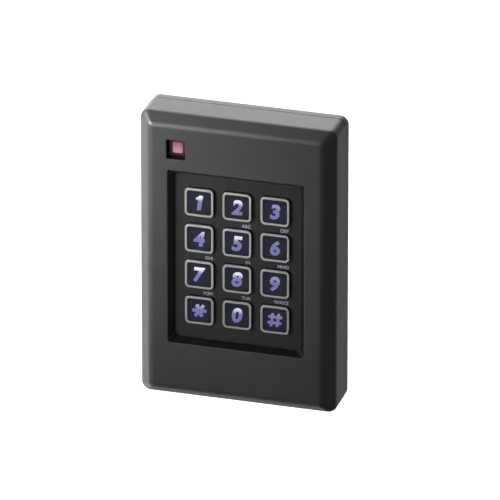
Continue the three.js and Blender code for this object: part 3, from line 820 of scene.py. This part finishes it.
def make_wall_plate(material):
    """The shallow tray on the wall, with its two hooks, its lug and its softened openings."""
    rim = slab(
        WIDTH - 2 * PLATE_INSET, HEIGHT - 2 * PLATE_INSET, OUTER_CORNER - PLATE_INSET,
        PLATE_THICKNESS, 0, edge=0.2,
    )
    inset = PLATE_INSET + PLATE_RIM
    tray = slab(WIDTH - 2 * inset, HEIGHT - 2 * inset, 3, PLATE_THICKNESS + 1, PLATE_FLOOR)
    plate = cut(rim, [tray])
    root = PLATE_FLOOR - 0.5
    lug = upright(LUG_WIDTH, LUG_BOTTOM, LUG_TOP, LUG_OUT, root)
    plate = add(plate, hook_stems(root) + [lug])
    plate = add(plate, hook_lips())
    insert_profile = [(INSERT_RADIUS, 1 - LUG_BOTTOM), (INSERT_RADIUS, -LUG_BOTTOM - INSERT_DEPTH)]
    insert_hole = upended(turned(insert_profile), LOCK_OUT, 0)
    slots = [
        flared_hole(
            BOX_SLOT_WIDTH, BOX_SLOT_HEIGHT, 2.2, -MOUTH_LIFT, PLATE_THICKNESS,
            0, side * BOX_SCREW_SPACING / 2, 0.4,
        )
        for side in (-1, 1)
    ]
    cable_opening = flared_hole(
        CABLE_WIDTH, CABLE_HEIGHT, 4, -MOUTH_LIFT, PLATE_THICKNESS + 1, 0, CABLE_Z, 0.6
    )
    plate = cut(plate, [insert_hole, cable_opening, *slots, *back_relief()])
    add_piece("back_plate", plate, "reader", material, ["wall_plate"])


def make_gasket(material):
    """The soft ring in the parting line, with a rounded outer edge."""
    inner = WALL - GASKET_INNER_GAP
    front = COVER_REAR - GASKET_GAP
    back = PLATE_THICKNESS + GASKET_GAP
    profile = soften([
        (inner, front, 0),
        (GASKET_INSET, front, GASKET_FILLET),
        (GASKET_INSET, back, GASKET_FILLET),
        (inner, back, 0),
        (inner, front, 0),
        (GASKET_INSET, front, 0),
    ])
    rings = [
        ring(WIDTH - 2 * inset, HEIGHT - 2 * inset, OUTER_CORNER - inset, out)
        for inset, out in profile
    ]
    add_piece("seal", loft(rings, closed=True), "reader", material, ["cover_gasket"])


def make_lock_screw(material):
    """The screw that locks the cover from below, with a chamfered head, socket and thread."""
    head_end = HEIGHT / 2 - LOCK_HEAD_SUNK
    under_head = head_end - LOCK_HEAD_THICKNESS
    thread = [
        (THREAD_CREST if turn % 2 else THREAD_ROOT, -LUG_BOTTOM - 0.3 - turn * THREAD_STEP)
        for turn in range(THREAD_TURNS)
    ]
    profile = [
        (LOCK_HEAD_RADIUS - LOCK_HEAD_CHAMFER, head_end),
        (LOCK_HEAD_RADIUS, head_end - LOCK_HEAD_CHAMFER),
        (LOCK_HEAD_RADIUS, under_head),
        (THREAD_CREST, under_head),
        *thread,
        (THREAD_ROOT - 0.1, -LUG_BOTTOM - 5.4),
    ]
    socket = loft([
        circle(LOCK_SOCKET_RADIUS, out, sides=6)
        for out in (head_end + 1, head_end - LOCK_SOCKET_DEPTH)
    ])
    screw = upended(cut(turned(profile), [socket]), LOCK_OUT, 0)
    add_piece("cover_lock_screw", screw, "reader", material, ["lock_screw"])


def terminal_screw(x, z, back):
    """One slotted terminal screw, sunk in its well, with its head towards the wall."""
    radius = TERMINAL_SCREW_RADIUS
    profile = [(radius, back + 1.1), (radius, back + 0.5), (radius - 0.2, back + 0.35)]
    slot = block(3, 0.35, back + 0.65, back, x, z)
    return cut(turned(profile, x, z), [slot])


def make_terminals(plastic_material, screw_material):
    """The green terminal block: wire entries above, and slotted screws turned from behind."""
    low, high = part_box("terminal_block")
    middle = middle_of("terminal_block")
    back = -high.y / MM
    front = -low.y / MM
    width = TERMINAL_WAYS * TERMINAL_PITCH + 2 * TERMINAL_END
    body = slab(width, TERMINAL_HEIGHT, 0.4, front, back, 0, middle.z, 0.25)
    well_z = middle.z - WELL_BELOW
    entries = []
    wells = []
    screws = []
    for way in range(TERMINAL_WAYS):
        x = (way - (TERMINAL_WAYS - 1) / 2) * TERMINAL_PITCH
        entries.append(block(ENTRY_WIDTH, 5, 5.5, 3.8, x, middle.z + 3.5))
        wells.append(flared_hole(
            WELL_SIZE, WELL_SIZE, WELL_SIZE / 2 - 0.01, back - MOUTH_LIFT, back + WELL_DEPTH,
            x, well_z, 0.2,
        ))
        screws.append(terminal_screw(x, well_z, back))
    body = cut(body, entries + wells)
    add_piece(
        "terminal_body", body, "reader", plastic_material, ["terminal_block"]
    )
    add_piece("terminal_screws", joined(screws), "reader", screw_material)


# ---------------------------------------------------------------- keypad

def make_bezel(material, print_material):
    """The dark panel round the keys, with softened key holes and its small letter groups."""
    outline = (RECESS_WIDTH + 2 * WALL, RECESS_HEIGHT + 2 * WALL)
    hollow = [size - 2 * BEZEL_WALL for size in outline]
    tray = slab(*outline, BEZEL_CORNER, BEZEL_FRONT, BEZEL_REAR, 0, RECESS_Z, edge=0.3)
    inner_corner = BEZEL_CORNER - BEZEL_WALL
    tray = cut(tray, [slab(*hollow, inner_corner, BEZEL_BACK, BEZEL_REAR - 1, 0, RECESS_Z)])
    size = KEY_SIZE + KEY_HOLE_GAP
    front = BEZEL_FRONT + MOUTH_LIFT
    holes = []
    for name in KEY_NAMES:
        key = middle_of(f"key_{name}")
        hole = flared_hole(
            size, size, KEY_CORNER + 0.3, front, BEZEL_BACK - 1, key.x, key.z, 0.25
        )
        holes.append(hole)
    add_piece("keypad_panel", cut(tray, holes), "reader", material, ["keypad_bezel"])
    for name, letters in LETTER_GROUPS.items():
        add_letters(name, letters, print_material)


def add_letters(name, letters, material):
    """One printed letter group, its right end and its foot set from its key."""
    key = middle_of(f"key_{name}")
    back = BEZEL_FRONT - PRINT_ROOT
    front = BEZEL_FRONT + PRINT_PROUD
    group = glyphs(letters, LETTER_HEIGHT, back, front, offset=LETTER_BOLDNESS)
    right = max(vertex.co.x for vertex in group.vertices)
    foot = min(vertex.co.z for vertex in group.vertices)
    corner = Vector((key.x + LETTERS_RIGHT, 0, key.z - KEY_SIZE / 2 - LETTERS_BELOW)) * MM
    group.transform(Matrix.Translation(corner - Vector((right, 0, foot))))
    add_piece(f"letters_under_{name}", group, "reader", material)


def glyphs(text, height, back, front, offset=0.0, shear=0.0):
    """Raised characters as a mesh, centred on x = z = 0, with their faces at the front level."""
    curve = bpy.data.curves.new("glyphs", "FONT")
    curve.body = text
    curve.offset = offset
    curve.shear = shear
    curve.extrude = 0.1
    curve.resolution_u = 6
    writer = bpy.data.objects.new("glyphs", curve)
    scene.collection.objects.link(writer)
    mesh = baked(writer)
    bpy.data.objects.remove(writer)
    corners = [vertex.co for vertex in mesh.vertices]
    low = Vector(min(co[axis] for co in corners) for axis in range(3))
    high = Vector(max(co[axis] for co in corners) for axis in range(3))
    size = height / (high.y - low.y) * MM
    thickness = (front - back) / (high.z - low.z) * MM
    mesh.transform(Matrix.Translation(-(low + high) / 2))
    mesh.transform(Matrix.Diagonal((size, size, thickness, 1)))
    mesh.transform(Matrix.Rotation(math.pi / 2, 4, "X"))
    mesh.transform(Matrix.Translation((0, -(front + back) / 2 * MM, 0)))
    weld = bmesh.new()
    weld.from_mesh(mesh)
    bmesh.ops.remove_doubles(weld, verts=weld.verts, dist=1e-7)
    weld.to_mesh(mesh)
    weld.free()
    return mesh


def bar(length, width, angle, across, upward, front, back):
    """A round-ended bar in the key's plane, turned by an angle from level and then placed."""
    mesh = slab(length, width, width * 0.3, front, back, edge=0.05)
    turn = Matrix.Rotation(-angle, 4, "Y")
    mesh.transform(Matrix.Translation((across * MM, 0, upward * MM)) @ turn)
    return mesh


def slanted(mesh):
    """Leans a legend to the right, as the digits lean."""
    lean = Matrix.Identity(4)
    lean[0][2] = LEGEND_SHEAR
    mesh.transform(lean)
    return mesh


def one_mesh(front, back):
    """An upright bar with a short flag at its head."""
    stem = bar(DIGIT_HEIGHT, ONE_WIDTH, math.pi / 2, ONE_ACROSS, 0, front, back)
    flag = bar(FLAG_LENGTH, THIN_STROKE, FLAG_ANGLE, FLAG_ACROSS, FLAG_UP, front, back)
    return slanted(add(stem, [flag]))


def star_mesh(front, back):
    """Three crossed bars."""
    bars = [bar(STAR_SIZE, STROKE, math.pi / 3 * i, 0, 0, front, back) for i in range(3)]
    return slanted(add(add(bars[0], [bars[1]]), [bars[2]]))


def hash_mesh(front, back):
    """Two level bars across two upright ones."""
    level = [
        bar(HASH_SIZE, THIN_STROKE, 0, 0, side * HASH_GAP, front, back) for side in (1, -1)
    ]
    uprights = [
        bar(HASH_SIZE, THIN_STROKE, math.pi / 2, side * HASH_GAP, 0, front, back)
        for side in (-1, 1)
    ]
    return slanted(add(joined(level), uprights))


def legend_mesh(name):
    """The key's digit, star or hash, just inside its cap."""
    front = KEY_FRONT - LEGEND_SUNK
    back = KEY_FRONT - LEGEND_ROOT
    if name == "1":
        return one_mesh(front, back)
    if name == "star":
        return star_mesh(front, back)
    if name == "hash":
        return hash_mesh(front, back)
    return glyphs(
        name, DIGIT_HEIGHT, back, front, offset=DIGIT_BOLDNESS, shear=LEGEND_SHEAR
    )


def cap_mesh(x, z):
    """A dished cap with a rounded rim, its stop flange and its contact post."""
    levels = [(size, size, corner, KEY_FRONT - sunk) for size, corner, sunk in DISH]
    size, corner, _ = DISH[-1]
    levels += [
        (size, size, corner, SKIRT_FRONT),
        (KEY_SIZE, KEY_SIZE, KEY_CORNER, SKIRT_FRONT),
        (KEY_SIZE, KEY_SIZE, KEY_CORNER, FLANGE_FRONT),
        (FLANGE_SIZE, FLANGE_SIZE, KEY_CORNER + 0.5, FLANGE_FRONT),
        (FLANGE_SIZE, FLANGE_SIZE, KEY_CORNER + 0.5, FLANGE_BACK),
        (POST_SIZE, POST_SIZE, POST_SIZE / 2 - 0.1, FLANGE_BACK),
        (POST_SIZE, POST_SIZE, POST_SIZE / 2 - 0.1, POST_END),
    ]
    return loft([ring(*level, x, z) for level in levels])


def rim_mesh(x, z):
    """The light frame round a key's face, with rounded edges."""
    profile = soften([
        (RIM_WIDTH / 2, RIM_FOOT, 0),
        (0, RIM_FOOT, 0),
        (0, KEY_FRONT + RIM_PROUD, 0.3),
        (RIM_WIDTH, KEY_FRONT + RIM_PROUD, 0.25),
        (RIM_WIDTH, RIM_FOOT, 0),
        (RIM_WIDTH / 2, RIM_FOOT, 0),
    ])
    return loft([
        ring(KEY_SIZE - 2 * inset, KEY_SIZE - 2 * inset, KEY_CORNER - 0.9 * inset, out, x, z)
        for inset, out in profile
    ], closed=True)


def make_keys(rim_material):
    """Twelve keys, each a cap, its light rim and its lit legend, all moving together."""
    for name in KEY_NAMES:
        body = f"key_{name}"
        key = middle_of(body)
        cap = cap_material(f"smoked_cap_{name}", CAP_GLOW)
        add_piece(f"cap_{name}", cap_mesh(key.x, key.z), body, cap, [body])
        add_piece(f"rim_{name}", rim_mesh(key.x, key.z), body, rim_material)
        bright = KEY_LIGHT[name]
        top = tuple(m + (w - m) * bright for m, w in zip(MID_GLOW, WHITE_GLOW))
        legend = legend_mesh(name)
        legend.transform(Matrix.Translation((key.x * MM, 0, key.z * MM)))
        low, high = LEGEND_FADE
        glow = lit_plastic(
            f"legend_{name}", (0.05, 0.05, 0.07), MID_GLOW, top, key.z + low, key.z + high
        )
        add_piece(f"legend_{name}", legend, body, glow)


# ---------------------------------------------------------------- status light

def make_status_light(window_material, pipe_material):
    """The lit block with its flange, and the smoked lens round it."""
    pipe = middle_of("status_light_pipe")
    profile = soften([
        (2, PIPE_FRONT, 0),
        (0, PIPE_FRONT, 0.35),
        (0, PIPE_FLANGE_FRONT, 0),
        (-PIPE_FLANGE, PIPE_FLANGE_FRONT, 0.2),
        (-PIPE_FLANGE, PIPE_FLANGE_BACK, 0.2),
        (0, PIPE_FLANGE_BACK, 0),
        (0, PIPE_BACK, 0.2),
        (2, PIPE_BACK, 0),
    ])
    lit_block = loft([
        ring(
            PIPE_WIDTH - 2 * inset, PIPE_HEIGHT - 2 * inset, max(0.5 - inset, 0.1), out,
            pipe.x, pipe.z,
        )
        for inset, out in profile
    ])
    add_piece(
        "light_pipe", lit_block, "reader", pipe_material, ["status_light_pipe"]
    )
    lens = slab(
        WINDOW_WIDTH + LENS_FLANGE, WINDOW_HEIGHT + LENS_FLANGE, 1, LENS_FRONT, LENS_BACK,
        pipe.x, pipe.z, edge=0.2,
    )
    hole = flared_hole(
        PIPE_WIDTH + PIPE_GAP, PIPE_HEIGHT + PIPE_GAP, 0.6, LENS_FRONT + MOUTH_LIFT,
        LENS_BACK - 1, pipe.x, pipe.z, 0.2,
    )
    lens = cut(lens, [hole])
    add_piece("window_lens", lens, "reader", window_material, ["status_window"])


# ---------------------------------------------------------------- materials by slot

def slot_materials():
    """One material for each of the record's slots that a shown piece takes."""
    pipe = middle_of("status_light_pipe")
    return {
        "housing": plastic("housing_plastic", (0.016, 0.0165, 0.0165), 0.46),
        "back_plastic": plastic("back_plastic", (0.050, 0.050, 0.051), 0.5, variation=0.04),
        "gasket": soft_rubber("gasket_rubber", (0.012, 0.012, 0.012)),
        "panel": plastic(
            "panel_plastic", (0.008, 0.0088, 0.0085), 0.38, grain=0.12, specular=0.35
        ),
        "key_cap": cap_material("smoked_cap", CAP_GLOW),
        "silicone": soft_rubber("silicone", (0.35, 0.36, 0.38)),
        "circuit_board": circuit_board_material(),
        "component": plastic("moulded_package", (0.012, 0.012, 0.013), 0.45, grain=0.4),
        "bare_metal": metal("drawn_metal", (0.75, 0.76, 0.78), 0.28, (1, 12, 1)),
        "led": plastic("led_package", (0.75, 0.75, 0.72), 0.35),
        "window": window_glass(),
        "red_light": lit_plastic(
            "pipe_glow", (0.06, 0.02, 0.03), PIPE_GLOW, PIPE_SHADE,
            pipe.z + PIPE_FADE[0], pipe.z + PIPE_FADE[1],
        ),
        "copper_winding": winding_material(),
        "terminal": plastic("terminal_plastic", (0.02, 0.12, 0.05), 0.45),
        "screw_steel": metal("zinc_plate", (0.62, 0.63, 0.66), 0.3),
        "brass": metal("turned_brass", (0.70, 0.48, 0.20), 0.3, (1, 1, 8)),
    }


def window_glass():
    """Smoked red lens: black towards its rim, with painted glow from the lit block, maroon near
    it.
    """
    material, tree, shader = new_material("smoked_red")
    mottle = spread(tree, noise(tree, 500, 2), 0, 1)
    colours = tint(tree, mottle, (0.006, 0.001, 0.002), (0.012, 0.002, 0.004))
    tree.links.new(colours, shader.inputs["Base Color"])
    middle = add_node(tree, "ShaderNodeVectorMath", {
        0: place(tree, "Generated"), 1: (0.62, 0.5, 0.58),
    }, operation="SUBTRACT")
    flat = add_node(tree, "ShaderNodeVectorMath", {
        0: middle.outputs[0], 1: (1, 0, 1),
    }, operation="MULTIPLY")
    distance = add_node(tree, "ShaderNodeVectorMath", {0: flat.outputs[0]}, operation="LENGTH")
    fade = add_node(tree, "ShaderNodeMapRange", {
        "Value": distance.outputs["Value"], "From Min": 0.15, "From Max": 0.45,
        "To Min": 1.0, "To Max": 0.0,
    }, interpolation_type="SMOOTHSTEP")
    # Painted glow: the maroon spilling from the lit block, centred right of and above the lens's
    # middle
    haze = tint(tree, fade.outputs["Result"], (0.001, 0, 0.0003), (0.085, 0.012, 0.032))
    tree.links.new(haze, shader.inputs["Emission Color"])
    shader.inputs["Emission Strength"].default_value = 1
    gloss = spread(tree, noise(tree, 300), 0.08, 0.14)
    tree.links.new(gloss, shader.inputs["Roughness"])
    return material


# ---------------------------------------------------------------- CAD nodes that stay

def smooth_rounds():
    """Geometry nodes that smooth a mesh but keep its edges sharper than SHARP_ANGLE."""
    group = bpy.data.node_groups.new("smooth rounds", "GeometryNodeTree")
    for direction in ("INPUT", "OUTPUT"):
        group.interface.new_socket("Geometry", in_out=direction, socket_type="NodeSocketGeometry")
    source = group.nodes.new("NodeGroupInput")
    smooth = add_node(group, "GeometryNodeSetShadeSmooth", {
        "Geometry": source.outputs["Geometry"], "Shade Smooth": True,
    })
    angle = add_node(group, "GeometryNodeInputMeshEdgeAngle")
    sharp = add_node(group, "FunctionNodeCompare", {
        "A": angle.outputs["Unsigned Angle"], "B": SHARP_ANGLE,
    }, operation="GREATER_THAN")
    creased = add_node(group, "GeometryNodeSetShadeSmooth", {
        "Geometry": smooth.outputs["Geometry"],
        "Selection": sharp.outputs["Result"],
        "Shade Smooth": False,
    }, domain="EDGE")
    result = group.nodes.new("NodeGroupOutput")
    group.links.new(creased.outputs["Geometry"], result.inputs["Geometry"])
    return group


def finish_cad_nodes():
    """Softens the small parts' edges and smooths every turned or rounded surface."""
    group = smooth_rounds()
    for row in frame["record"]["subparts"]:
        node = frame["nodes"][row["node"]]
        if row["material_slot"] in BEVELLED_SLOTS:
            bevel = node.modifiers.new("soft edges", "BEVEL")
            bevel.width = COMPONENT_BEVEL * MM
            bevel.segments = 2
            bevel.limit_method = "ANGLE"
            bevel.angle_limit = SHARP_ANGLE
        node.modifiers.new("smooth rounds", "NODES").node_group = group


# ---------------------------------------------------------------- studio

def only_for_camera(obj):
    """Shows the piece to the camera, and leaves the light on the object as it is."""
    obj.visible_glossy = False
    obj.visible_transmission = False
    obj.visible_diffuse = False
    obj.visible_shadow = False


def make_floor():
    """A round pale floor, well below the reader."""
    material, tree, shader = new_material("pale_floor")
    mottle = spread(tree, noise(tree, 3, 3), 0, 1)
    colours = tint(tree, mottle, (0.9, 0.9, 0.9), (0.93, 0.93, 0.93))
    tree.links.new(colours, shader.inputs["Base Color"])
    tree.links.new(colours, shader.inputs["Emission Color"])
    shader.inputs["Emission Strength"].default_value = 0.6
    shader.inputs["Roughness"].default_value = 0.9
    turns = [2 * math.pi * i / FLOOR_SIDES for i in range(FLOOR_SIDES)]
    edge = [
        Vector((DOME_RADIUS * math.cos(t), DOME_RADIUS * math.sin(t), FLOOR_LEVEL))
        for t in turns
    ]
    mesh = bpy.data.meshes.new("floor")
    mesh.from_pydata(edge, [], [tuple(range(FLOOR_SIDES))])
    mesh.materials.append(material)
    floor = bpy.data.objects.new("floor", mesh)
    scene.collection.objects.link(floor)
    only_for_camera(floor)
    return floor


def make_dome():
    """A pale dome round everything, for the views that look over the floor's edge."""
    material, _, shader = new_material("pale_backdrop")
    shader.inputs["Base Color"].default_value = (0.9, 0.9, 0.9, 1)
    shader.inputs["Emission Color"].default_value = (1, 1, 1, 1)
    shader.inputs["Emission Strength"].default_value = 1
    mesh = bpy.data.meshes.new("backdrop")
    shape = bmesh.new()
    bmesh.ops.create_uvsphere(shape, u_segments=48, v_segments=24, radius=DOME_RADIUS)
    shape.to_mesh(mesh)
    shape.free()
    mesh.materials.append(material)
    dome = bpy.data.objects.new("backdrop", mesh)
    scene.collection.objects.link(dome)
    only_for_camera(dome)
    return dome


def make_backdrop():
    """The floor and the dome, which aren't part of the reader."""
    floor = make_floor()
    dome = make_dome()


def make_surround():
    """A dim grey surround with soft boxes above and behind, to the left and in front."""
    world = bpy.data.worlds.new("studio")
    scene.world = world
    world.use_nodes = True
    tree = world.node_tree
    direction = add_node(tree, "ShaderNodeSeparateXYZ", {"Vector": place(tree, "Generated")})
    total = SURROUND_LEVEL
    for strength, fades in SOFT_BOXES:
        glow = strength
        for axis, dark, full in fades:
            fade = add_node(tree, "ShaderNodeMapRange", {
                "Value": direction.outputs[axis], "From Min": dark, "From Max": full,
            }, interpolation_type="SMOOTHSTEP").outputs["Result"]
            faded = add_node(tree, "ShaderNodeMath", {0: glow, 1: fade}, operation="MULTIPLY")
            glow = faded.outputs[0]
        total = add_node(tree, "ShaderNodeMath", {0: total, 1: glow}).outputs[0]
    background = tree.nodes["Background"]
    background.inputs["Color"].default_value = (1, 1, 1, 1)
    tree.links.new(total, background.inputs["Strength"])


def add_soft_light(name, position, aim, size, power, spread_angle):
    """A square area light, in metres and watts, that the camera doesn't see."""
    data = bpy.data.lights.new(name, "AREA")
    data.shape = "SQUARE"
    data.size = size
    data.energy = power
    data.spread = math.radians(spread_angle)
    light = bpy.data.objects.new(name, data)
    light.location = position
    light.rotation_mode = "QUATERNION"
    light.rotation_quaternion = (Vector(aim) - Vector(position)).to_track_quat("-Z", "Y")
    light.visible_camera = False
    scene.collection.objects.link(light)


# ---------------------------------------------------------------- the scene

scene.view_settings.view_transform = "Standard"
make_camera()
make_surround()
make_backdrop()
for light in AREA_LIGHTS:
    add_soft_light(*light)

materials = slot_materials()
for row in frame["record"]["subparts"]:
    frame["nodes"][row["node"]].material_slots[0].material = materials[row["material_slot"]]

marking = plastic("pale_marking", (0.19, 0.19, 0.18), 0.45, grain=0.1, variation=0.05)
lettering = plastic("pale_lettering", (0.22, 0.235, 0.30), 0.5, grain=0.1, variation=0.05)
# Near-black painted shade for the bottom and right walls of the recess and of the window's hole
painted_shade_lining = plastic("recess_painted_shade", (0.004, 0.0042, 0.0042), 0.5, specular=0.08)

finish_cad_nodes()
make_cover(materials["housing"], materials["panel"], painted_shade_lining)
make_wall_plate(materials["back_plastic"])
make_gasket(materials["gasket"])
make_lock_screw(materials["screw_steel"])
make_terminals(materials["terminal"], materials["screw_steel"])
make_bezel(materials["panel"], lettering)
make_keys(marking)
make_status_light(materials["window"], materials["red_light"])
